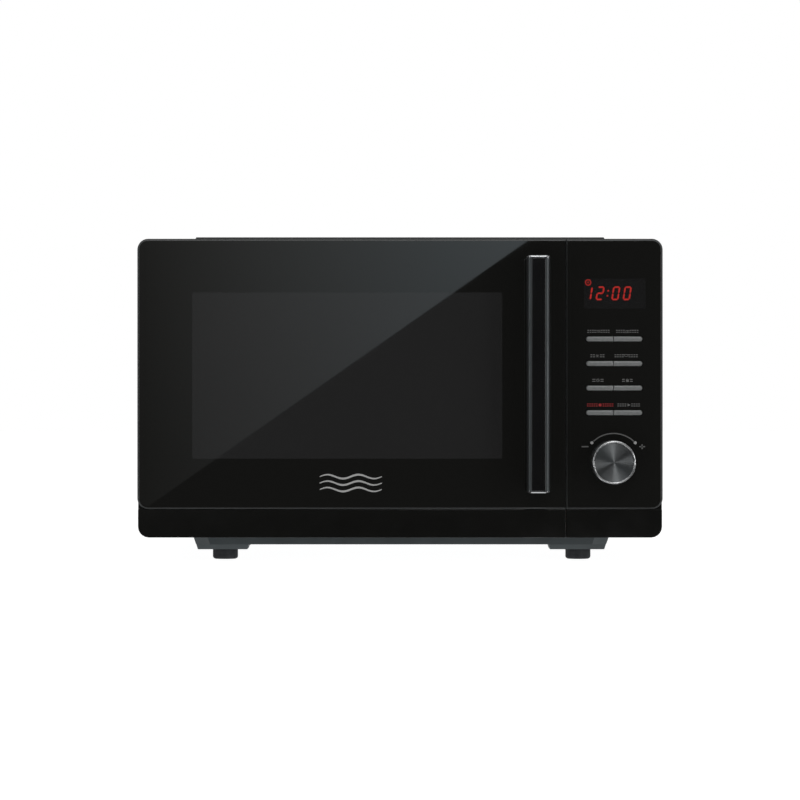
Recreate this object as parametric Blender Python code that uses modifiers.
"""Countertop microwave oven: side-hung door, jog knob, eight keys, turntable and power bay.

Metres, +Z up. The front faces -Y and +X is to the viewer's right. The origin is on the
ground below the middle of the oven, so the ground is the plane z = 0.
"""

import math

import bmesh
import bpy
from mathutils import Matrix, Vector

# Clearances and stock
GAP = 0.0003
SHEET = 0.0007
WALL = 0.0025
REACH = 0.002  # how far a cutter runs past the face that it opens

# Front panels
HALF_WIDTH = 0.254
FRONT_BOTTOM = 0.0236
FRONT_TOP = 0.3125
PANEL_BOTTOM = 0.051
PANEL_FRONT = -0.1865
PANEL_THICK = 0.003
SHELL_FRONT = PANEL_FRONT + PANEL_THICK + GAP
STRIP_FRONT = PANEL_FRONT + 0.0008
SHELL_INSET = 0.0007
SEAM_INSET = 0.0001  # the same, beside the seam of door and controls
DOOR_BACK = -0.155
DOOR_RIGHT = 0.1602
CONTROL_LEFT = 0.1606
CORNER = 0.0105
CORNER_STEPS = 5
BEND_STEPS = 3
ALL_CORNERS = ((1, 1), (1, -1), (-1, 1), (-1, -1))
TOP_CORNERS = ((1, 1), (-1, 1))
LEFT_CORNERS = ((-1, 1), (-1, -1))
RIGHT_CORNERS = ((1, 1), (1, -1))

# Chassis
PLATE_FRONT = -0.1538
PLATE_RIGHT = 0.158
PLATE_BOTTOM = 0.026
PLATE_TOP = 0.3085
CABINET_HALF = 0.2515
CABINET_BOTTOM = 0.025
CABINET_TOP = 0.3115
CABINET_FRONT = PLATE_FRONT + SHEET + GAP
CABINET_REAR = 0.217
CABINET_BEND = 0.0045
REAR_FACE = 0.2185
CREST_TOP = 0.3176
CREST_HALF = 0.2015
CREST_FRONT = -0.118
CREST_BACK = 0.188
CREST_SLOPE = 0.0035
BASE_UNDER = 0.0155
BASE_STEP = 0.0252  # underside of the base's raised border at the front
BASE_TOP = 0.028
BASE_HALF = 0.2499
BASE_WIDENS = 0.012  # the pan is narrow ahead of this Y, and full width behind it
PAN_X = (-0.204, 0.2062)
PAN_CORNER = 0.015
PAN_LEAN = 0.0035
FOOT_X = (-0.1725, 0.1758)
FOOT_Y = (-0.118, 0.162)
FOOT_RADIUS = 0.0124
FOOT_HEIGHT = 0.0096
PAD_X = ((-0.1986, -0.1502), (0.1476, 0.2007))
PAD_HALF_Y = 0.0195
PAD_SLOPE = 0.0018
SCREW_X = 0.2445
SCREW_Z = (0.06, 0.27)

# Oven cavity and turntable
CAVITY_LEFT = -0.221
CAVITY_RIGHT = 0.119
CAVITY_FLOOR = 0.062
CAVITY_TOP = 0.282
CAVITY_BACK = 0.189
CAVITY_BEND = 0.01
TURN_X = 0.5 * (CAVITY_LEFT + CAVITY_RIGHT)
TURN_Y = 0.018
WHEEL_RADIUS = 0.0075
WHEEL_WIDTH = 0.006
WHEEL_ORBIT = 0.092
WHEEL_TURN = math.radians(90)  # where the first wheel stands
WHEEL_Z = CAVITY_FLOOR + GAP + WHEEL_RADIUS
TRAY_UNDER = WHEEL_Z + WHEEL_RADIUS + GAP
TRAY_RADIUS = 0.144
TRAY_RIM = 0.014
PORT_Y = (0.0, 0.06)
PORT_Z = (0.14, 0.2)

# Door
WINDOW_X = (-0.2008, 0.0988)
WINDOW_Z = (0.0999, 0.2605)
SCREEN_FRONT = -0.158
CHOKE_DEPTH = 0.012
INNER_LEFT = -0.2355  # left edge of the panels in the back of the door
FILM_MARGIN = 0.006
HINGE_X = -0.2485
HINGE_Y = -0.1615
HINGE_PIN = 0.0025
HINGE_NOTCH_UPPER = (0.2975, 0.303)
HINGE_NOTCH_LOWER = (0.0325, 0.038)
RIM_LEFT = -0.24
LATCH_X = (0.14, 0.146)
LATCH_Z = (0.113, 0.227)
CATCH_DROP = 0.007
HANDLE_X = (0.1214, 0.1434)
HANDLE_Z = (0.0674, 0.295)
HANDLE_FRONT = -0.2245
HANDLE_BACK = -0.206
POST_HEIGHT = 0.022
POST_INSET = 0.003
HANDLE_EDGE = 0.0025
INLAY_WIDTH = 0.0132
INLAY_THICK = 0.003
INLAY_END = 0.0024

# Controls
DISPLAY_X = (0.1778, 0.2375)
DISPLAY_Z = (0.245, 0.2739)
KEY_X = (0.18, 0.234)
KEY_SPLIT = 0.2061
KEY_PARTING = 0.00018
KEY_HEIGHT = 0.0046
KEY_FRONT = PANEL_FRONT - 0.0014
KEY_BACK = -0.1762
KEY_PLAY = 0.0003
KEY_ROWS = (0.2156, 0.1919, 0.1682, 0.1444)
KNOB_X = 0.2057
KNOB_Z = 0.0964
KNOB_RADIUS = 0.0212
KNOB_FRONT = -0.2065
SPINDLE_RADIUS = 0.003
SPINDLE_BORE = 0.0042
ENCODER_HALF = 0.0075
BOARD_FRONT = -0.1735

# Power bay
FAN_X = 0.189
FAN_Z = 0.18
FAN_RADIUS = 0.047
FAN_BLADES = 5
BLADE_PITCH = math.radians(62)
TUBE_Y = 0.045
TUBE_Z = 0.17
TUBE_START = 0.1586
TUBE_END = 0.228
YOKE_HALF = (0.038, 0.045)
YOKE_STEEL = 0.0015
CORD_X = 0.205
CORD_Z = 0.045

# Colour (linear), roughness, metallic, transmission
BLACK_GLASS = ((0.008, 0.008, 0.009), 0.06, 0.0, 0.0)
BLACK_PLASTIC = ((0.012, 0.012, 0.013), 0.38, 0.0, 0.0)
GREY_PLASTIC = ((0.22, 0.23, 0.23), 0.35, 0.0, 0.0)
WHITE_PLASTIC = ((0.75, 0.75, 0.73), 0.45, 0.0, 0.0)
PAINTED_STEEL = ((0.018, 0.02, 0.022), 0.42, 0.0, 0.0)
ENAMEL = ((0.42, 0.43, 0.42), 0.35, 0.0, 0.0)
ZINC_STEEL = ((0.42, 0.44, 0.45), 0.4, 1.0, 0.0)
DARK_CHROME = ((0.16, 0.17, 0.18), 0.2, 1.0, 0.0)
BRIGHT_METAL = ((0.72, 0.72, 0.72), 0.24, 1.0, 0.0)
RUBBER = ((0.02, 0.021, 0.023), 0.7, 0.0, 0.0)
MICA = ((0.5, 0.46, 0.38), 0.5, 0.0, 0.0)
CLEAR_GLASS = ((0.9, 0.93, 0.92), 0.03, 0.0, 0.9)
BOARD_GREEN = ((0.03, 0.13, 0.06), 0.5, 0.0, 0.0)


def clear_scene():
    for obj in list(bpy.data.objects):
        bpy.data.objects.remove(obj, do_unlink=True)


def new_collection(name):
    collection = bpy.data.collections.new(name)
    bpy.context.scene.collection.children.link(collection)
    return collection


clear_scene()
PARTS = new_collection("microwave_oven")
CUTTERS = new_collection("cutters")


def finish_material(name, finish):
    colour, roughness, metallic, transmission = finish
    material = bpy.data.materials.new(name + "_finish")
    material.use_nodes = True
    shader = material.node_tree.nodes["Principled BSDF"]
    shader.inputs["Base Color"].default_value = (*colour, 1.0)
    shader.inputs["Roughness"].default_value = roughness
    shader.inputs["Metallic"].default_value = metallic
    shader.inputs["Transmission Weight"].default_value = transmission
    return material


def object_from(bm, name, origin=(0.0, 0.0, 0.0)):
    """Makes an object of the world-space mesh bm with its origin at the given point."""
    bmesh.ops.translate(bm, verts=bm.verts, vec=-Vector(origin))
    mesh = bpy.data.meshes.new(name)
    bm.to_mesh(mesh)
    bm.free()
    obj = bpy.data.objects.new(name, mesh)
    obj.location = origin
    return obj


def part(bm, name, finish, origin=(0.0, 0.0, 0.0), smooth=False):
    obj = object_from(bm, name, origin)
    PARTS.objects.link(obj)
    obj.data.materials.append(finish_material(name, finish))
    if smooth:
        obj.data.shade_smooth()
        obj.data.set_sharp_from_angle(angle=math.radians(35))
    return obj


def tool(bm, name):
    obj = object_from(bm, name)
    CUTTERS.objects.link(obj)
    obj.hide_render = True
    obj.display_type = "WIRE"
    return obj


def boolean(obj, bm, operation):
    modifier = obj.modifiers.new(operation.lower(), "BOOLEAN")
    modifier.object = tool(bm, f"{obj.name}_{operation.lower()}_{len(obj.modifiers)}")
    modifier.operation = operation
    modifier.solver = "EXACT"


def cut(obj, bm):
    boolean(obj, bm, "DIFFERENCE")


def fuse(obj, bm):
    boolean(obj, bm, "UNION")


def add_box(bm, low, high):
    low, high = Vector(low), Vector(high)
    matrix = Matrix.Translation((low + high) / 2) @ Matrix.Diagonal((*(high - low), 1.0))
    return bmesh.ops.create_cube(bm, size=1.0, matrix=matrix)["verts"]


def boxes(*corners):
    """One mesh of the boxes given as (low, high) pairs."""
    bm = bmesh.new()
    for low, high in corners:
        add_box(bm, low, high)
    return bm


def rounded_box(low, high, axis, corners, radius, steps=CORNER_STEPS):
    """A box whose edges along the axis are rounded at the corners given as sign pairs."""
    bm = boxes((low, high))
    middle = (Vector(low) + Vector(high)) / 2
    across = [i for i in range(3) if i != axis]
    edges = []
    for edge in bm.edges:
        first, second = (vert.co for vert in edge.verts)
        if abs((second - first)[axis]) < 1e-6:
            continue
        signs = tuple(1 if first[i] > middle[i] else -1 for i in across)
        if signs in corners:
            edges.append(edge)
    bmesh.ops.bevel(bm, geom=edges, offset=radius, segments=steps, profile=0.5, affect="EDGES")
    return bm


def tapered_box(low, high, slope, narrow_top):
    """A box whose top or bottom face is smaller by the slope on every side."""
    bm = boxes((low, high))
    middle = (Vector(low) + Vector(high)) / 2
    for vert in bm.verts:
        if (vert.co.z > middle.z) == narrow_top:
            vert.co.x -= math.copysign(slope, vert.co.x - middle.x)
            vert.co.y -= math.copysign(slope, vert.co.y - middle.y)
    return bm


def add_cylinder(bm, start, end, radius, sides=24, end_radius=None):
    start, end = Vector(start), Vector(end)
    turn = (end - start).to_track_quat("Z", "Y").to_matrix().to_4x4()
    bmesh.ops.create_cone(
        bm,
        cap_ends=True,
        segments=sides,
        radius1=radius,
        radius2=radius if end_radius is None else end_radius,
        depth=(end - start).length,
        matrix=Matrix.Translation((start + end) / 2) @ turn,
    )


def cylinders(*rows, sides=24):
    """One mesh of the cylinders given as (start, end, radius) rows."""
    bm = bmesh.new()
    for start, end, radius in rows:
        add_cylinder(bm, start, end, radius, sides)
    return bm


def turned_part(name, finish, profile, origin, tilt=0.0, steps=32, closed=False):
    """Turns a profile of (radius, height) points, which runs down its outer side."""
    bm = bmesh.new()
    verts = [bm.verts.new((radius, 0.0, height)) for radius, height in profile]
    pairs = list(zip(verts, verts[1:]))
    if closed:
        pairs.append((verts[-1], verts[0]))
    for pair in pairs:
        bm.edges.new(pair)
    mesh = bpy.data.meshes.new(name)
    bm.to_mesh(mesh)
    bm.free()
    obj = bpy.data.objects.new(name, mesh)
    PARTS.objects.link(obj)
    obj.location = origin
    obj.rotation_euler.x = tilt
    obj.data.materials.append(finish_material(name, finish))
    screw = obj.modifiers.new("screw", "SCREW")
    screw.steps = steps
    screw.render_steps = steps
    screw.use_merge_vertices = True
    screw.merge_threshold = 0.00001
    screw.use_smooth_shade = True
    return obj


def pivot(name, location):
    empty = bpy.data.objects.new(name, None)
    empty.location = location
    empty.empty_display_size = 0.02
    PARTS.objects.link(empty)
    return empty


def hang(pieces, empty):
    """Parents the pieces to the empty and leaves them where they are."""
    for piece in pieces:
        piece.parent = empty
        piece.matrix_parent_inverse = Matrix.Translation(-empty.location)


# ---------------------------------------------------------------- chassis


def cavity_box():
    outer = (
        (CAVITY_LEFT - SHEET, PLATE_FRONT, CAVITY_FLOOR - SHEET),
        (CAVITY_RIGHT + SHEET, CAVITY_BACK + SHEET, CAVITY_TOP + SHEET),
    )
    bend = rounded_box(*outer, 1, ALL_CORNERS, CAVITY_BEND + SHEET, BEND_STEPS)
    obj = part(bend, "cavity_box", ENAMEL)
    plate = (
        (-CABINET_HALF, PLATE_FRONT, PLATE_BOTTOM),
        (PLATE_RIGHT, PLATE_FRONT + SHEET, PLATE_TOP),
    )
    fuse(obj, boxes(plate))
    inner = (
        (CAVITY_LEFT, PLATE_FRONT - REACH, CAVITY_FLOOR),
        (CAVITY_RIGHT, CAVITY_BACK, CAVITY_TOP),
    )
    cut(obj, rounded_box(*inner, 1, ALL_CORNERS, CAVITY_BEND, BEND_STEPS))
    port = (
        (CAVITY_RIGHT - REACH, PORT_Y[0], PORT_Z[0]),
        (CAVITY_RIGHT + 2 * REACH, PORT_Y[1], PORT_Z[1]),
    )
    lamp_port = (
        (CAVITY_RIGHT - REACH, -0.055, 0.24),
        (CAVITY_RIGHT + 2 * REACH, -0.035, 0.26),
    )
    cut(obj, boxes(port, lamp_port, *latch_slots(), *hinge_slots()))
    shaft_hole = ((TURN_X, TURN_Y, CAVITY_FLOOR - 2 * REACH), (TURN_X, TURN_Y, CAVITY_FLOOR + REACH))
    cut(obj, cylinders((*shaft_hole, 0.0055)))


def latch_slots():
    """Windows in the front plate that the two door hooks pass through."""
    return [
        (
            (LATCH_X[0] - 0.0025, PLATE_FRONT - REACH, z - 0.010),
            (LATCH_X[1] + 0.003, PLATE_FRONT + SHEET + REACH, z + 0.010),
        )
        for z in LATCH_Z
    ]


def hinge_tab_levels():
    """Lower and upper faces of the two hinge tabs."""
    return ((0.299, 0.3015), (0.034, 0.0365))


def hinge_slots():
    return [
        ((-0.2502, PLATE_FRONT - REACH, low - GAP), (-0.2377, PLATE_FRONT + SHEET + REACH, high + GAP))
        for low, high in hinge_tab_levels()
    ]


def hinge(name, tab, flange, pin_end):
    """A steel tab that reaches into the door's notch and carries the hinge pin."""
    low, high = tab
    arm = ((-0.2525, HINGE_Y - 0.0055, low), (-0.238, PLATE_FRONT - GAP, high))
    obj = part(boxes(arm), name, ZINC_STEEL)
    tongue = ((-0.2498, PLATE_FRONT - 0.001, low), (-0.238, CABINET_FRONT + SHEET, high))
    fuse(obj, boxes(tongue))
    fuse(obj, boxes(((-0.2498, CABINET_FRONT, flange[0]), (-0.238, CABINET_FRONT + SHEET, flange[1]))))
    middle = 0.5 * (low + high)
    fuse(obj, cylinders(((HINGE_X, HINGE_Y, middle), (HINGE_X, HINGE_Y, pin_end), HINGE_PIN), sides=16))


def hinges():
    upper, lower = hinge_tab_levels()
    hinge("hinge_upper", upper, (0.281, upper[1]), 0.287)
    hinge("hinge_lower", lower, (lower[0], 0.055), 0.0485)


def vent_rows(low, high, pitch, count, axis):
    """A slot given by its corners, repeated along an axis."""
    step = Vector([pitch if i == axis else 0.0 for i in range(3)])
    return [(Vector(low) + step * n, Vector(high) + step * n) for n in range(count)]


def outer_cabinet():
    shell = ((-CABINET_HALF, CABINET_FRONT, CABINET_BOTTOM), (CABINET_HALF, CABINET_REAR, CABINET_TOP))
    bend = rounded_box(*shell, 1, TOP_CORNERS, CABINET_BEND, BEND_STEPS)
    obj = part(bend, "outer_cabinet", PAINTED_STEEL)
    crest_low = (-CREST_HALF - CREST_SLOPE, CREST_FRONT, CABINET_TOP - SHEET / 2)
    crest_high = (CREST_HALF + CREST_SLOPE, CREST_BACK, CREST_TOP)
    fuse(obj, tapered_box(crest_low, crest_high, CREST_SLOPE, True))
    inside = (
        (-CABINET_HALF + SHEET, CABINET_FRONT - REACH, CABINET_BOTTOM - REACH),
        (CABINET_HALF - SHEET, CABINET_REAR - SHEET, CABINET_TOP - SHEET),
    )
    cut(obj, rounded_box(*inside, 1, TOP_CORNERS, CABINET_BEND - SHEET, BEND_STEPS))
    hollow_low = (crest_low[0] + SHEET, CREST_FRONT + SHEET, CABINET_TOP - 2 * SHEET)
    hollow_high = (crest_high[0] - SHEET, CREST_BACK - SHEET, CREST_TOP - SHEET)
    cut(obj, tapered_box(hollow_low, hollow_high, CREST_SLOPE, True))
    lip = 0.013
    mouth = (
        (-CABINET_HALF + lip, CABINET_REAR - REACH, CABINET_BOTTOM - REACH),
        (CABINET_HALF - lip, CABINET_REAR + REACH, CABINET_TOP - lip),
    )
    cut(obj, boxes(mouth))
    cut(obj, cabinet_vents())
    cut(obj, screw_holes())


def cabinet_vents():
    """Slots over the power bay on the right, and over the steam duct on the left."""
    slots = []
    for z in (0.2, 0.226, 0.252):
        low = (CABINET_HALF - 2 * REACH, -0.075, z)
        high = (CABINET_HALF + REACH, -0.0725, z + 0.018)
        slots += vent_rows(low, high, 0.0075, 12, 1)
    low = (-CABINET_HALF - REACH, 0.085, 0.236)
    high = (-CABINET_HALF + 2 * REACH, 0.0875, 0.256)
    slots += vent_rows(low, high, 0.0075, 9, 1)
    return boxes(*slots)


def screw_places():
    return [(x, z) for z in SCREW_Z for x in (-SCREW_X, SCREW_X)]


def screw_holes():
    rows = [((x, CABINET_REAR - 0.004, z), (x, REAR_FACE + REACH, z), 0.0022) for x, z in screw_places()]
    return cylinders(*rows, sides=12)


def rear_plate():
    plate = ((-CABINET_HALF, CABINET_REAR + GAP, BASE_UNDER), (CABINET_HALF, REAR_FACE, CABINET_TOP))
    bend = rounded_box(*plate, 1, TOP_CORNERS, CABINET_BEND, BEND_STEPS)
    obj = part(bend, "rear_plate", ZINC_STEEL)
    cut(obj, screw_holes())
    slots = []
    for z in (0.15, 0.172, 0.194):
        low = (FAN_X - 0.034, CABINET_REAR - REACH, z)
        high = (FAN_X - 0.0305, REAR_FACE + REACH, z + 0.016)
        slots += vent_rows(low, high, 0.0085, 9, 0)
    for z in (0.215, 0.24):
        low = (-0.17, CABINET_REAR - REACH, z)
        high = (-0.1665, REAR_FACE + REACH, z + 0.018)
        slots += vent_rows(low, high, 0.0095, 10, 0)
    cut(obj, boxes(*slots))
    bore = ((CORD_X, CABINET_REAR - REACH, CORD_Z), (CORD_X, REAR_FACE + REACH, CORD_Z), 0.0068)
    cut(obj, cylinders(bore))


def cabinet_screws():
    for number, (x, z) in enumerate(screw_places(), 1):
        shaft = ((x, CABINET_REAR - 0.008, z), (x, REAR_FACE + 0.001, z), 0.0018)
        obj = part(cylinders(shaft, sides=12), f"cabinet_screw_{number}", ZINC_STEEL, smooth=True)
        head = bmesh.new()
        add_cylinder(
            head, (x, REAR_FACE + GAP, z), (x, REAR_FACE + 0.0026, z), 0.0045, 20, end_radius=0.0036
        )
        fuse(obj, head)
        arm, depth = 0.0022, REAR_FACE + 0.0014
        cross = boxes(
            ((x - arm, depth, z - 0.0004), (x + arm, REAR_FACE + 0.004, z + 0.0004)),
        )
        cut(obj, cross)
        upright = boxes(
            ((x - 0.0004, depth, z - arm), (x + 0.0004, REAR_FACE + 0.004, z + arm)),
        )
        cut(obj, upright)


def base_pan(inset):
    """The pan's solids, or with an inset the hollows on their inner side."""
    rear = CABINET_REAR - SHEET - GAP - inset
    front, under, step = CABINET_FRONT + inset, BASE_UNDER + inset, BASE_STEP + inset
    top = BASE_TOP if inset == 0.0 else BASE_TOP + REACH
    half = BASE_HALF - inset
    border = boxes(((-half, front, step), (half, rear, top)))
    wide = boxes(((-half, BASE_WIDENS + inset, under), (half, rear, step + GAP)))
    low, high = (PAN_X[0] + inset, front, under), (PAN_X[1] - inset, BASE_WIDENS + WALL, step + GAP)
    narrow = rounded_box(low, high, 2, ((-1, -1), (1, -1)), PAN_CORNER, 1)
    for vert in narrow.verts:
        if vert.co.z < BASE_UNDER + REACH:
            vert.co.x -= math.copysign(PAN_LEAN, vert.co.x)
    return border, wide, narrow


def base_plate():
    """A pressed pan with a raised border beside its front half, and a pad over each foot."""
    border, wide, narrow = base_pan(0.0)
    obj = part(border, "base_plate", ZINC_STEEL)
    fuse(obj, wide)
    fuse(obj, narrow)
    for pad in PAD_X:
        for y in FOOT_Y:
            fuse(obj, foot_pad(pad, y, 0.0))
    for hollow in base_pan(SHEET):
        cut(obj, hollow)
    for pad in PAD_X:
        for y in FOOT_Y:
            cut(obj, foot_pad(pad, y, SHEET))
    low, high = (0.15, -0.075, BASE_UNDER - REACH), (0.154, -0.045, BASE_UNDER + 2 * REACH)
    cut(obj, boxes(*vent_rows(low, high, 0.009, 5, 0)))


def foot_pad(pad, y, inset):
    """The pressed pad above a foot, or with an inset the hollow on its inner side."""
    half_y = PAD_HALF_Y - inset
    low = (pad[0] - PAD_SLOPE + inset, y - half_y, FOOT_HEIGHT + GAP + inset)
    high = (pad[1] + PAD_SLOPE - inset, y + half_y, BASE_UNDER + SHEET / 2 + inset * 1.5)
    return tapered_box(low, high, PAD_SLOPE, False)


def feet():
    profile = (
        (0.0, FOOT_HEIGHT),
        (FOOT_RADIUS, FOOT_HEIGHT),
        (FOOT_RADIUS, 0.0022),
        (FOOT_RADIUS - 0.0006, 0.0008),
        (FOOT_RADIUS - 0.002, 0.0),
        (0.0, 0.0),
    )
    for row, y in zip(("front", "rear"), FOOT_Y):
        for side, x in zip(("left", "right"), FOOT_X):
            turned_part(f"foot_{row}_{side}", RUBBER, profile, (x, y, 0.0), steps=24)


def cord_bushing():
    """The strain-relief bushing in the rear plate; it is empty, with a bore for a mains lead."""
    profile = (
        (0.0035, 0.006),
        (0.0075, 0.006),
        (0.009, 0.0045),
        (0.009, GAP),
        (0.0064, GAP),
        (0.0064, -0.006),
        (0.0035, -0.006),
    )
    origin = (CORD_X, REAR_FACE, CORD_Z)
    turned_part("cord_bushing", BLACK_PLASTIC, profile, origin, -math.pi / 2, steps=20, closed=True)


# ---------------------------------------------------------------- controls


def key_row_slots(front, back, clearance):
    half = KEY_HEIGHT / 2 + clearance
    return [
        ((KEY_X[0] - clearance, front, z - half), (KEY_X[1] + clearance, back, z + half))
        for z in KEY_ROWS
    ]


def control_housing():
    left, right = CONTROL_LEFT + SEAM_INSET, HALF_WIDTH - SHELL_INSET
    back = PLATE_FRONT - 0.0005
    low, high = (left, SHELL_FRONT, FRONT_BOTTOM), (right, back, FRONT_TOP - SHELL_INSET)
    obj = part(rounded_box(low, high, 1, RIGHT_CORNERS, CORNER), "control_housing", BLACK_PLASTIC)
    strip = (left, STRIP_FRONT, FRONT_BOTTOM), (right, SHELL_FRONT + WALL, PANEL_BOTTOM - GAP)
    fuse(obj, rounded_box(*strip, 1, ((1, -1),), CORNER))
    low = (left + WALL, SHELL_FRONT + WALL, FRONT_BOTTOM + WALL)
    high = (right - WALL, back + REACH, FRONT_TOP - SHELL_INSET - WALL)
    cut(obj, rounded_box(low, high, 1, RIGHT_CORNERS, CORNER - WALL))
    front, rear = SHELL_FRONT - REACH, SHELL_FRONT + WALL + REACH
    display = (
        (DISPLAY_X[0] - GAP, front, DISPLAY_Z[0] - GAP),
        (DISPLAY_X[1] + GAP, rear, DISPLAY_Z[1] + GAP),
    )
    cut(obj, boxes(display, *key_row_slots(front, rear, KEY_PLAY + 0.0001)))
    cut(obj, cylinders(((KNOB_X, front, KNOB_Z), (KNOB_X, rear, KNOB_Z), SPINDLE_BORE)))


def control_glass():
    low = (CONTROL_LEFT, PANEL_FRONT, PANEL_BOTTOM)
    high = (HALF_WIDTH, PANEL_FRONT + PANEL_THICK, FRONT_TOP)
    obj = part(rounded_box(low, high, 1, RIGHT_CORNERS, CORNER), "control_glass", BLACK_GLASS)
    front, rear = PANEL_FRONT - REACH, PANEL_FRONT + PANEL_THICK + REACH
    cut(obj, boxes(*key_row_slots(front, rear, KEY_PLAY)))
    cut(obj, cylinders(((KNOB_X, front, KNOB_Z), (KNOB_X, rear, KNOB_Z), SPINDLE_BORE)))


def display_module():
    low = (DISPLAY_X[0], SHELL_FRONT, DISPLAY_Z[0])
    high = (DISPLAY_X[1], BOARD_FRONT - GAP, DISPLAY_Z[1])
    part(boxes((low, high)), "display_module", BLACK_PLASTIC)


def control_board():
    low, high = (0.1695, BOARD_FRONT, 0.062), (0.246, BOARD_FRONT + 0.0016, 0.302)
    obj = part(boxes((low, high)), "control_board", BOARD_GREEN)
    taps = []
    for z in KEY_ROWS:
        for x in key_centres():
            taps.append(
                ((x - 0.003, KEY_BACK + 0.0013, z - 0.003), (x + 0.003, BOARD_FRONT + SHEET, z + 0.003))
            )
    fuse(obj, boxes(*taps))
    rear = BOARD_FRONT + SHEET
    relays = boxes(
        ((0.175, rear, 0.09), (0.195, -0.156, 0.12)),
        ((0.205, rear, 0.09), (0.225, -0.156, 0.12)),
        ((0.178, rear, 0.24), (0.212, -0.158, 0.275)),
    )
    fuse(obj, relays)


def key_centres():
    return (0.5 * (KEY_X[0] + KEY_SPLIT), 0.5 * (KEY_X[1] + KEY_SPLIT))


def key(name, left, right, rounded, z):
    """Half of a pill-shaped bar, with a retaining flange behind the housing wall."""
    half = KEY_HEIGHT / 2
    low, high = (left, KEY_FRONT, z - half), (right, KEY_BACK, z + half)
    bm = rounded_box(low, high, 1, rounded, half * 0.96, steps=4)
    origin = ((left + right) / 2, KEY_FRONT, z)
    obj = part(bm, name, GREY_PLASTIC, origin, smooth=True)
    back = SHELL_FRONT + WALL + GAP
    reach = half + SHEET
    flange = ((left + 0.002, back, z - reach), (right - 0.002, back + SHEET, z + reach))
    fuse(obj, boxes(flange))


def keys():
    for row, z in enumerate(KEY_ROWS, 1):
        key(f"key_{row}_left", KEY_X[0], KEY_SPLIT - KEY_PARTING, LEFT_CORNERS, z)
        key(f"key_{row}_right", KEY_SPLIT + KEY_PARTING, KEY_X[1], RIGHT_CORNERS, z)


def knob():
    """A turned jog knob with a shallow dished face; its spindle runs into the encoder."""
    front = KNOB_FRONT
    depth = PANEL_FRONT - SHEET - front
    tail = BOARD_FRONT - SHEET - front
    profile = [
        (0.0, 0.0008),
        (KNOB_RADIUS - 0.003, 0.0008),
        (KNOB_RADIUS - 0.0022, 0.0),
        (KNOB_RADIUS - 0.0008, 0.0003),
        (KNOB_RADIUS, 0.0015),
        (KNOB_RADIUS, depth - 0.001),
        (KNOB_RADIUS - 0.0008, depth),
        (SPINDLE_RADIUS, depth),
        (SPINDLE_RADIUS, tail),
        (0.0, tail),
    ]
    points = [(radius, -height) for radius, height in profile]
    turned_part("knob", BRIGHT_METAL, points, (KNOB_X, front, KNOB_Z), math.pi / 2, steps=40)


def knob_encoder():
    back = SHELL_FRONT + WALL + GAP
    low = (KNOB_X - ENCODER_HALF, back, KNOB_Z - ENCODER_HALF)
    high = (KNOB_X + ENCODER_HALF, BOARD_FRONT - GAP, KNOB_Z + ENCODER_HALF)
    obj = part(boxes((low, high)), "knob_encoder", ZINC_STEEL)
    bore = ((KNOB_X, back - REACH, KNOB_Z), (KNOB_X, BOARD_FRONT + REACH, KNOB_Z), SPINDLE_RADIUS + GAP)
    cut(obj, cylinders(bore))


# ---------------------------------------------------------------- door


def door_glass():
    low = (-HALF_WIDTH, PANEL_FRONT, PANEL_BOTTOM)
    high = (DOOR_RIGHT, PANEL_FRONT + PANEL_THICK, FRONT_TOP)
    obj = part(rounded_box(low, high, 1, LEFT_CORNERS, CORNER), "door_glass", BLACK_GLASS)
    posts = [
        (
            (HANDLE_X[0] + POST_INSET - GAP, PANEL_FRONT - REACH, low - GAP),
            (HANDLE_X[1] - POST_INSET + GAP, SHELL_FRONT + REACH, high + GAP),
        )
        for low, high in handle_posts()
    ]
    cut(obj, boxes(*posts))
    return obj


def door_frame():
    left, right = -HALF_WIDTH + SHELL_INSET, DOOR_RIGHT - SEAM_INSET
    top = FRONT_TOP - SHELL_INSET
    low, high = (left, SHELL_FRONT, FRONT_BOTTOM), (right, DOOR_BACK, top)
    obj = part(rounded_box(low, high, 1, LEFT_CORNERS, CORNER), "door_frame", BLACK_PLASTIC)
    strip = (left, STRIP_FRONT, FRONT_BOTTOM), (right, SHELL_FRONT + WALL, PANEL_BOTTOM - GAP)
    fuse(obj, rounded_box(*strip, 1, ((-1, -1),), CORNER))
    pocket = (
        (RIM_LEFT, SHELL_FRONT + WALL, FRONT_BOTTOM + WALL),
        (right - WALL, DOOR_BACK + REACH, top - WALL),
    )
    cut(obj, boxes(pocket))
    fuse(obj, window_sleeve())
    fuse(obj, boxes(((0.138, SHELL_FRONT + SHEET, 0.0722), (0.148, -0.161, 0.0752))))
    window = (
        (WINDOW_X[0], SHELL_FRONT - REACH, WINDOW_Z[0]),
        (WINDOW_X[1], DOOR_BACK + REACH, WINDOW_Z[1]),
    )
    cut(obj, boxes(window))
    cut(obj, boxes(*hinge_notches()))
    pins = [
        ((HINGE_X, HINGE_Y, 0.286), (HINGE_X, HINGE_Y, 0.3), HINGE_PIN + GAP),
        ((HINGE_X, HINGE_Y, 0.036), (HINGE_X, HINGE_Y, 0.0495), HINGE_PIN + GAP),
    ]
    cut(obj, cylinders(*pins, sides=16))
    chamfer = boxes(((-0.0021, -0.0021, 0.0), (0.0021, 0.0021, 0.4)))
    bmesh.ops.rotate(chamfer, verts=chamfer.verts, matrix=Matrix.Rotation(math.pi / 4, 3, "Z"))
    bmesh.ops.translate(chamfer, verts=chamfer.verts, vec=(left, DOOR_BACK, 0.0))
    cut(obj, chamfer)
    return obj


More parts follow.
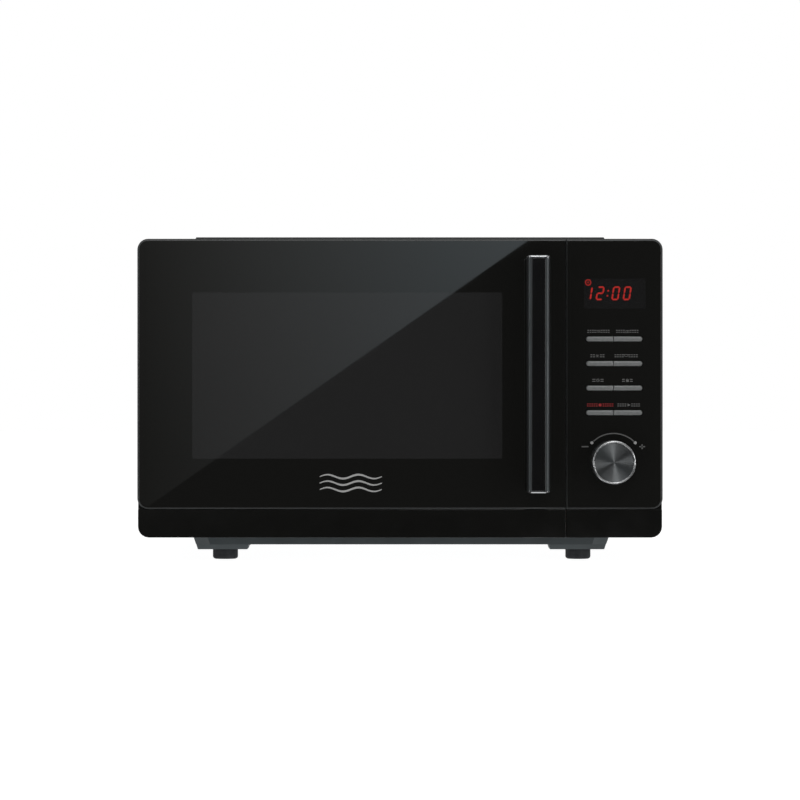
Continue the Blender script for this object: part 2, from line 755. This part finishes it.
def window_sleeve():
    """The wall round the window, from the frame's face back to the screen."""
    return boxes(
        (
            (WINDOW_X[0] - WALL, SHELL_FRONT + SHEET, WINDOW_Z[0] - WALL),
            (WINDOW_X[1] + WALL, SCREEN_FRONT - GAP, WINDOW_Z[1] + WALL),
        )
    )


def hinge_notches():
    """Room round the two hinge tabs, open at the back and at the left."""
    return [
        ((-HALF_WIDTH - REACH, -0.171, low), (-0.236, DOOR_BACK + REACH, high))
        for low, high in (HINGE_NOTCH_UPPER, HINGE_NOTCH_LOWER)
    ]


def inner_panel_corners(front, back):
    """Corners of a panel that fills the back of the door frame."""
    low = (INNER_LEFT, front, FRONT_BOTTOM + WALL + GAP)
    high = (DOOR_RIGHT - SEAM_INSET - WALL - GAP, back, FRONT_TOP - SHELL_INSET - WALL - GAP)
    return low, high


def door_screen():
    """The perforated steel screen, with its folded choke wall all round."""
    low, high = inner_panel_corners(SCREEN_FRONT - CHOKE_DEPTH, SCREEN_FRONT + SHEET)
    obj = part(boxes((low, high)), "door_screen", PAINTED_STEEL)
    inside = (
        (low[0] + SHEET, low[1] - REACH, low[2] + SHEET),
        (high[0] - SHEET, SCREEN_FRONT, high[2] - SHEET),
    )
    cut(obj, boxes(inside))
    cut(obj, boxes(*door_hook_slots(SCREEN_FRONT - REACH, SCREEN_FRONT + SHEET + REACH)))
    return obj


def door_hook_slots(front, back):
    return [
        ((LATCH_X[0] - 0.0015, front, z - 0.0095), (LATCH_X[1] + 0.0015, back, z + 0.0095))
        for z in LATCH_Z
    ]


def film_corners(margin):
    front = SCREEN_FRONT + SHEET + GAP
    low = (WINDOW_X[0] - margin, front, WINDOW_Z[0] - margin)
    high = (WINDOW_X[1] + margin, DOOR_BACK - GAP, WINDOW_Z[1] + margin)
    return low, high


def choke_cover():
    """The plastic ring on the inner face of the door, over the choke."""
    low, high = inner_panel_corners(SCREEN_FRONT + SHEET + GAP, DOOR_BACK)
    obj = part(boxes((low, high)), "choke_cover", BLACK_PLASTIC)
    low, high = film_corners(FILM_MARGIN + GAP)
    cut(obj, boxes(((low[0], low[1] - REACH, low[2]), (high[0], high[1] + REACH, high[2]))))
    cut(obj, boxes(*door_hook_slots(SCREEN_FRONT, DOOR_BACK + REACH)))
    return obj


def door_inner_film():
    return part(boxes(film_corners(FILM_MARGIN)), "door_inner_film", CLEAR_GLASS)


def handle_posts():
    """Levels of the handle's two posts."""
    low, high = HANDLE_Z
    return ((low + 0.001, low + POST_HEIGHT), (high - POST_HEIGHT, high - 0.001))


def handle():
    low, high = (HANDLE_X[0], HANDLE_FRONT, HANDLE_Z[0]), (HANDLE_X[1], HANDLE_BACK, HANDLE_Z[1])
    obj = part(rounded_box(low, high, 2, ALL_CORNERS, HANDLE_EDGE, steps=3), "handle", DARK_CHROME)
    for bottom, top in handle_posts():
        post = (
            (HANDLE_X[0] + POST_INSET, HANDLE_BACK - SHEET, bottom),
            (HANDLE_X[1] - POST_INSET, SHELL_FRONT - GAP, top),
        )
        fuse(obj, boxes(post))
    cut(obj, boxes(inlay_corners(GAP)))
    return obj


def inlay_corners(clearance):
    middle = 0.5 * (HANDLE_X[0] + HANDLE_X[1])
    half = INLAY_WIDTH / 2 + clearance
    low = (middle - half, HANDLE_FRONT - clearance, HANDLE_Z[0] + INLAY_END - clearance)
    back, top = HANDLE_FRONT + INLAY_THICK + clearance, HANDLE_Z[1] - INLAY_END + clearance
    high = (middle + half, back, top)
    return low, high


def handle_inlay():
    return part(boxes(inlay_corners(0.0)), "handle_inlay", BLACK_GLASS)


def door_latch():
    """The sliding bar in the door with its two hooks."""
    spine = ((LATCH_X[0] - 0.001, -0.172, 0.094), (LATCH_X[1] + 0.001, -0.1605, 0.246))
    obj = part(boxes(spine), "door_latch", WHITE_PLASTIC)
    for z in LATCH_Z:
        shank = ((LATCH_X[0], -0.1625, z - 0.0045), (LATCH_X[1], -0.1335, z + 0.0025))
        nose = ((LATCH_X[0], -0.1395, z - 0.0065), (LATCH_X[1], -0.1345, z))
        fuse(obj, boxes(shank))
        fuse(obj, boxes(nose))
    return obj


def latch_spring():
    """A compression spring under the latch bar."""
    turns, per_turn, coil, wire = 4, 8, 0.0032, 0.0004
    low, high = 0.0755, 0.0932
    curve = bpy.data.curves.new("latch_spring", "CURVE")
    curve.dimensions = "3D"
    curve.bevel_depth = wire
    curve.bevel_resolution = 1
    curve.use_fill_caps = True
    count = turns * per_turn + 1
    spline = curve.splines.new("POLY")
    spline.points.add(count - 1)
    for n, point in enumerate(spline.points):
        angle = 2 * math.pi * n / per_turn
        height = (high - low) * n / (count - 1)
        point.co = (coil * math.cos(angle), coil * math.sin(angle), height, 1.0)
    obj = bpy.data.objects.new("latch_spring", curve)
    PARTS.objects.link(obj)
    obj.location = (0.5 * (LATCH_X[0] + LATCH_X[1]), -0.166, low)
    curve.materials.append(finish_material("latch_spring", ZINC_STEEL))
    return obj


def door():
    pieces = [
        door_frame(),
        door_glass(),
        door_screen(),
        choke_cover(),
        door_inner_film(),
        handle(),
        handle_inlay(),
        door_latch(),
        latch_spring(),
    ]
    hang(pieces, pivot("door_pivot", (HINGE_X, HINGE_Y, 0.0)))


# ---------------------------------------------------------------- interlock


def interlock_bracket():
    """The moulded bracket that the hooks catch on, behind the front plate."""
    front = CABINET_FRONT
    web = ((0.1285, front, 0.096), (0.1315, -0.112, 0.244))
    obj = part(boxes(web), "interlock_bracket", WHITE_PLASTIC)
    for z in LATCH_Z:
        fuse(obj, boxes(((0.1305, front, z - 0.011), (0.152, -0.1405, z - CATCH_DROP))))
        fuse(obj, boxes(((0.1305, front, z + 0.0115), (0.152, -0.112, z + 0.0145))))
    fuse(obj, boxes(((0.1305, -0.13, 0.167), (0.152, -0.112, 0.171))))


def micro_switch(name, z):
    body = ((0.1335, -0.1305, z - 0.0055), (0.1525, -0.114, z + 0.0055))
    obj = part(boxes(body), name, BLACK_PLASTIC)
    fuse(obj, boxes(((0.1415, -0.1325, z - 0.0015), (0.1445, -0.13, z + 0.0015))))
    fuse(obj, boxes(((0.1375, -0.1145, z - 0.001), (0.1395, -0.108, z + 0.001))))
    fuse(obj, boxes(((0.1465, -0.1145, z - 0.001), (0.1485, -0.108, z + 0.001))))


def interlock():
    interlock_bracket()
    micro_switch("switch_primary", LATCH_Z[1])
    micro_switch("switch_secondary", LATCH_Z[0])
    micro_switch("switch_monitor", LATCH_Z[0] + 0.03)


# ---------------------------------------------------------------- turntable


def turntable_motor():
    top = CAVITY_FLOOR - SHEET - GAP
    obj = part(
        cylinders(((TURN_X, TURN_Y, top - 0.016), (TURN_X, TURN_Y, top), 0.025), sides=28),
        "turntable_motor",
        ZINC_STEEL,
        smooth=True,
    )
    ears = ((TURN_X - 0.033, TURN_Y - 0.006, top - 0.0015), (TURN_X + 0.033, TURN_Y + 0.006, top))
    fuse(obj, boxes(ears))
    plug = ((TURN_X - 0.009, TURN_Y + 0.02, top - 0.014), (TURN_X + 0.009, TURN_Y + 0.032, top - 0.004))
    fuse(obj, boxes(plug))


def turntable_coupler():
    bottom = CAVITY_FLOOR - SHEET
    obj = part(
        cylinders(((TURN_X, TURN_Y, bottom), (TURN_X, TURN_Y, CAVITY_FLOOR + 0.005), 0.0045)),
        "turntable_coupler",
        WHITE_PLASTIC,
        (TURN_X, TURN_Y, bottom),
        smooth=True,
    )
    low, high = CAVITY_FLOOR + 0.004, TRAY_UNDER - GAP
    fuse(obj, cylinders(((TURN_X, TURN_Y, low), (TURN_X, TURN_Y, high), 0.008)))
    for number in range(3):
        fuse(obj, spoke(number, 0.006, 0.0125, 0.0022, low, high))


def spoke(number, start, end, half_width, low, high, turn=0.0):
    """A radial bar about the turntable's axis, one of three."""
    bm = boxes(((start, -half_width, low), (end, half_width, high)))
    angle = turn + number * 2 * math.pi / 3
    bmesh.ops.rotate(bm, verts=bm.verts, matrix=Matrix.Rotation(angle, 3, "Z"))
    bmesh.ops.translate(bm, verts=bm.verts, vec=(TURN_X, TURN_Y, 0.0))
    return bm


def roller_ring():
    outer, inner = 0.085, 0.079
    low, high = WHEEL_Z - 0.0028, WHEEL_Z + 0.0028
    profile = ((inner, high), (outer, high), (outer, low), (inner, low))
    obj = turned_part(
        "roller_ring", WHITE_PLASTIC, profile, (TURN_X, TURN_Y, 0.0), steps=36, closed=True
    )
    for number in range(3):
        fuse(obj, spoke(number, 0.019, 0.081, 0.0028, low, high, WHEEL_TURN))
        fuse(obj, axle(number, 0.083, WHEEL_ORBIT + 0.0055, 0.0021))
    fuse(obj, cylinders(((TURN_X, TURN_Y, low), (TURN_X, TURN_Y, high), 0.022), sides=32))
    cut(
        obj,
        cylinders(((TURN_X, TURN_Y, low - REACH), (TURN_X, TURN_Y, high + REACH), 0.0165), sides=32),
    )


def axle(number, start, end, radius):
    bm = cylinders(((start, 0.0, WHEEL_Z), (end, 0.0, WHEEL_Z), radius), sides=12)
    angle = WHEEL_TURN + number * 2 * math.pi / 3
    bmesh.ops.rotate(bm, verts=bm.verts, matrix=Matrix.Rotation(angle, 3, "Z"))
    bmesh.ops.translate(bm, verts=bm.verts, vec=(TURN_X, TURN_Y, 0.0))
    return bm


def roller_wheels():
    half = WHEEL_WIDTH / 2
    profile = (
        (0.0024, half),
        (WHEEL_RADIUS - 0.0008, half),
        (WHEEL_RADIUS, half - 0.0008),
        (WHEEL_RADIUS, -half + 0.0008),
        (WHEEL_RADIUS - 0.0008, -half),
        (0.0024, -half),
    )
    for number in range(3):
        angle = WHEEL_TURN + number * 2 * math.pi / 3
        place = (
            TURN_X + WHEEL_ORBIT * math.cos(angle),
            TURN_Y + WHEEL_ORBIT * math.sin(angle),
            WHEEL_Z,
        )
        obj = turned_part(
            f"roller_wheel_{number + 1}", WHITE_PLASTIC, profile, place, steps=20, closed=True
        )
        obj.rotation_euler = (0.0, math.pi / 2, angle)


def glass_tray():
    thick = 0.004
    rim = TRAY_RIM
    profile = (
        (0.0, thick),
        (TRAY_RADIUS - 0.020, thick),
        (TRAY_RADIUS - 0.012, thick + 0.0025),
        (TRAY_RADIUS - 0.003, rim),
        (TRAY_RADIUS - 0.0015, rim + 0.0006),
        (TRAY_RADIUS, rim - 0.0006),
        (TRAY_RADIUS - 0.008, 0.002),
        (TRAY_RADIUS - 0.016, 0.0),
        (0.0, 0.0),
    )
    turned_part("glass_tray", CLEAR_GLASS, profile, (TURN_X, TURN_Y, TRAY_UNDER), steps=44)


def turntable():
    turntable_motor()
    turntable_coupler()
    roller_ring()
    roller_wheels()
    glass_tray()


# ---------------------------------------------------------------- power bay


def waveguide():
    low = (CAVITY_RIGHT + SHEET + GAP, PORT_Y[0] - 0.008, PORT_Z[0] - 0.008)
    high = (0.158, PORT_Y[1] + 0.018, PORT_Z[1] + 0.008)
    obj = part(boxes((low, high)), "waveguide", ZINC_STEEL)
    inside = (
        (low[0] - REACH, low[1] + SHEET, low[2] + SHEET),
        (high[0] - SHEET, high[1] - SHEET, high[2] - SHEET),
    )
    cut(obj, boxes(inside))
    mouth = ((high[0] - REACH, TUBE_Y, TUBE_Z), (high[0] + REACH, TUBE_Y, TUBE_Z), 0.0095)
    cut(obj, cylinders(mouth))


def waveguide_cover():
    low = (CAVITY_RIGHT - 0.0009, PORT_Y[0] - 0.005, PORT_Z[0] - 0.005)
    high = (CAVITY_RIGHT - GAP, PORT_Y[1] + 0.005, PORT_Z[1] + 0.005)
    part(boxes((low, high)), "waveguide_cover", MICA)


def magnetron():
    """The tube with its cooling fins, yoke, filament box and antenna."""
    y, z = TUBE_Y, TUBE_Z
    tube = cylinders(((TUBE_START + REACH, y, z), (0.235, y, z), 0.02))
    obj = part(tube, "magnetron", ZINC_STEEL, smooth=True)
    fuse(obj, cylinders(((0.148, y, z), (TUBE_START + 2 * REACH, y, z), 0.0075)))
    front, rear = y - YOKE_HALF[0], y + YOKE_HALF[0]
    bottom, top = z - YOKE_HALF[1], z + YOKE_HALF[1]
    flange = ((TUBE_START, front, bottom), (TUBE_START + YOKE_STEEL, rear, top))
    yoke_end = ((TUBE_END - YOKE_STEEL, front, bottom), (TUBE_END, rear, top))
    fuse(obj, boxes(flange, yoke_end))
    lower_yoke = ((TUBE_START, front, bottom), (TUBE_END, rear, bottom + YOKE_STEEL))
    upper_yoke = ((TUBE_START, front, top - YOKE_STEEL), (TUBE_END, rear, top))
    fuse(obj, boxes(lower_yoke, upper_yoke))
    fins = vent_rows((0.178, y - 0.034, z - 0.0425), (0.179, y + 0.034, z + 0.0425), 0.008, 5, 0)
    fuse(obj, boxes(*fins))
    filament_box = ((TUBE_END - SHEET, y - 0.02, z - 0.028), (0.246, y + 0.02, z + 0.028))
    fuse(obj, boxes(filament_box))


def transformer():
    """Laminated core with its two windings."""
    base = BASE_UNDER + SHEET + GAP
    core = ((0.144, 0.014, base), (0.224, 0.09, base + 0.066))
    obj = part(boxes(core), "transformer", ZINC_STEEL)
    low, high = (0.159, -0.004, base + 0.01), (0.209, 0.108, base + 0.056)
    fuse(obj, rounded_box(low, high, 0, ALL_CORNERS, 0.01))
    rails = ((0.136, 0.016, base), (0.232, 0.088, base + 0.002))
    fuse(obj, boxes(rails))


def capacitor():
    y, z = 0.134, BASE_UNDER + SHEET + GAP + 0.021
    can = ((0.141, y, z), (0.231, y, z), 0.02)
    obj = part(cylinders(can, sides=28), "capacitor", BRIGHT_METAL, smooth=True)
    fuse(obj, boxes(((0.135, y - 0.008, z - 0.003), (0.142, y - 0.006, z + 0.003))))
    fuse(obj, boxes(((0.135, y + 0.006, z - 0.003), (0.142, y + 0.008, z + 0.003))))


def voltage_diode():
    body = ((0.15, 0.178, 0.034), (0.176, 0.178, 0.034), 0.004)
    obj = part(cylinders(body, sides=14), "voltage_diode", BLACK_PLASTIC, smooth=True)
    fuse(obj, cylinders(((0.143, 0.178, 0.034), (0.183, 0.178, 0.034), 0.001), sides=8))


def fan_shroud():
    low = (FAN_X - 0.055, 0.208, FAN_Z - 0.058)
    high = (FAN_X + 0.055, 0.2105, FAN_Z + 0.058)
    obj = part(boxes((low, high)), "fan_shroud", BLACK_PLASTIC)
    collar = ((FAN_X, 0.186, FAN_Z), (FAN_X, 0.209, FAN_Z), FAN_RADIUS + 0.0045)
    fuse(obj, cylinders(collar, sides=36))
    hole = ((FAN_X, 0.18, FAN_Z), (FAN_X, 0.215, FAN_Z), FAN_RADIUS + 0.002)
    cut(obj, cylinders(hole, sides=36))
    for sign in (-1, 1):
        x = FAN_X + sign * 0.052
        fuse(obj, boxes(((x - 0.002, 0.158, FAN_Z - 0.004), (x + 0.002, 0.209, FAN_Z + 0.004))))
    fuse(obj, boxes(((FAN_X - 0.053, 0.158, FAN_Z - 0.004), (FAN_X + 0.053, 0.1605, FAN_Z + 0.004))))


def fan_motor():
    low = (FAN_X - 0.026, 0.1608, FAN_Z - 0.022)
    high = (FAN_X + 0.026, 0.179, FAN_Z + 0.022)
    obj = part(boxes((low, high)), "fan_motor", ZINC_STEEL)
    fuse(obj, boxes(((FAN_X + 0.01, 0.1608, FAN_Z - 0.034), (FAN_X + 0.024, 0.179, FAN_Z - 0.02))))
    fuse(obj, cylinders(((FAN_X, 0.178, FAN_Z), (FAN_X, 0.2, FAN_Z), 0.0018), sides=12))


def fan_blade():
    """A five-bladed axial fan on the motor's shaft."""
    hub = ((FAN_X, 0.188, FAN_Z), (FAN_X, 0.205, FAN_Z), 0.012)
    obj = part(
        cylinders(hub, sides=20), "fan_blade", WHITE_PLASTIC, (FAN_X, 0.1965, FAN_Z), smooth=True
    )
    for number in range(FAN_BLADES):
        bm = boxes(((0.009, -0.0008, -0.013), (FAN_RADIUS, 0.0008, 0.013)))
        bmesh.ops.rotate(bm, verts=bm.verts, matrix=Matrix.Rotation(BLADE_PITCH, 3, "X"))
        angle = number * 2 * math.pi / FAN_BLADES
        bmesh.ops.rotate(bm, verts=bm.verts, matrix=Matrix.Rotation(angle, 3, "Y"))
        bmesh.ops.translate(bm, verts=bm.verts, vec=(FAN_X, 0.1965, FAN_Z))
        fuse(obj, bm)
    cut(obj, cylinders(((FAN_X, 0.186, FAN_Z), (FAN_X, 0.202, FAN_Z), 0.0022), sides=12))


def cavity_lamp():
    start = CAVITY_RIGHT + SHEET + GAP
    bulb = ((start + 0.001, -0.045, 0.25), (start + 0.022, -0.045, 0.25), 0.0085)
    obj = part(cylinders(bulb, sides=20), "cavity_lamp", CLEAR_GLASS, smooth=True)
    fuse(obj, boxes(((start + 0.021, -0.06, 0.237), (start + 0.038, -0.03, 0.263))))


def noise_filter():
    low, high = (0.135, 0.14, 0.262), (0.215, 0.205, 0.2636)
    obj = part(boxes((low, high)), "noise_filter", BOARD_GREEN)
    coil = ((0.16, 0.165, 0.263), (0.16, 0.165, 0.285), 0.012)
    fuse(obj, cylinders(coil, sides=20))
    fuse(obj, boxes(((0.182, 0.148, 0.263), (0.2, 0.158, 0.279))))
    fuse(obj, boxes(((0.182, 0.175, 0.263), (0.208, 0.181, 0.271))))


def power_bay():
    waveguide()
    waveguide_cover()
    magnetron()
    transformer()
    capacitor()
    voltage_diode()
    fan_shroud()
    fan_motor()
    fan_blade()
    cavity_lamp()
    noise_filter()


def controls():
    control_housing()
    control_glass()
    display_module()
    control_board()
    keys()
    knob()
    knob_encoder()


def chassis():
    cavity_box()
    hinges()
    outer_cabinet()
    rear_plate()
    cabinet_screws()
    base_plate()
    feet()
    cord_bushing()


chassis()
interlock()
power_bay()
turntable()
controls()
door()
